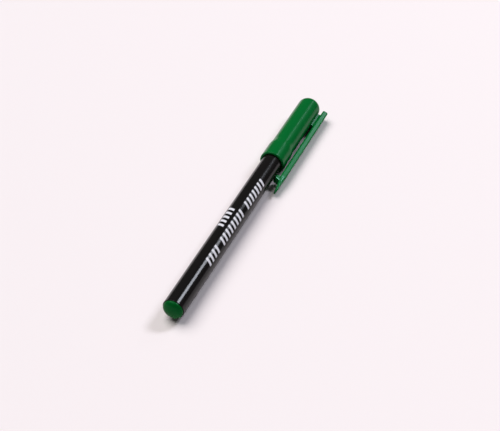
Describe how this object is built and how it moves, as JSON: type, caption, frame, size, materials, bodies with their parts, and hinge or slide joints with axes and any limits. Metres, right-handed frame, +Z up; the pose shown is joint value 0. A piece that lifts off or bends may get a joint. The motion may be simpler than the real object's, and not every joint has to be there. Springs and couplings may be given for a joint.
{
  "type": "plate correction pen",
  "caption": "Slim capped fibre-tip pen for correcting printing plates, with a straight barrel, end plug, fluid reservoir, fine nib and a pull-off cap with a sprung pocket clip.",
  "frame": {"origin": "on the table under the middle of the pen's length and width, as it lies on its side with the clip resting on the table", "axes": "+X along the pen from the end plug towards the top of the cap, +Z up, clip on the -Y side"},
  "size_m": [0.1444, 0.0142, 0.011],
  "materials": {
    "barrel_black": "smooth extruded, satin gloss",
    "moulded_green": "moulded gloss",
    "holder_black": "moulded satin",
    "nib_fibre": "bonded fibre",
    "reservoir_fibre": "loose fibre",
    "clear_film": "clear film",
    "natural_plastic": "natural, slightly milky"
  },
  "bodies": {
    "barrel": {"barrel": "barrel_black", "end_plug": "moulded_green", "nib_holder": "holder_black", "nib": "nib_fibre", "reservoir_core": "reservoir_fibre", "reservoir_film": "clear_film"},
    "cap": {"cap_shell": "moulded_green", "inner_cap": "natural_plastic"},
    "clip": {"clip": "moulded_green"}
  },
  "joints": [
    {"name": "cap_pull", "type": "slide", "parent": "barrel", "child": "cap", "axis": [1, 0, 0], "range_m": [0, 0.06]},
    {"name": "clip_flex", "type": "hinge", "parent": "cap", "child": "clip", "pos_m": [0.06713, -0.00311, 0.00349], "axis": [0, -0.3921, 0.9199], "range_deg": [0, 4], "stiffness_Nm_per_rad": 1.1}
  ]
}
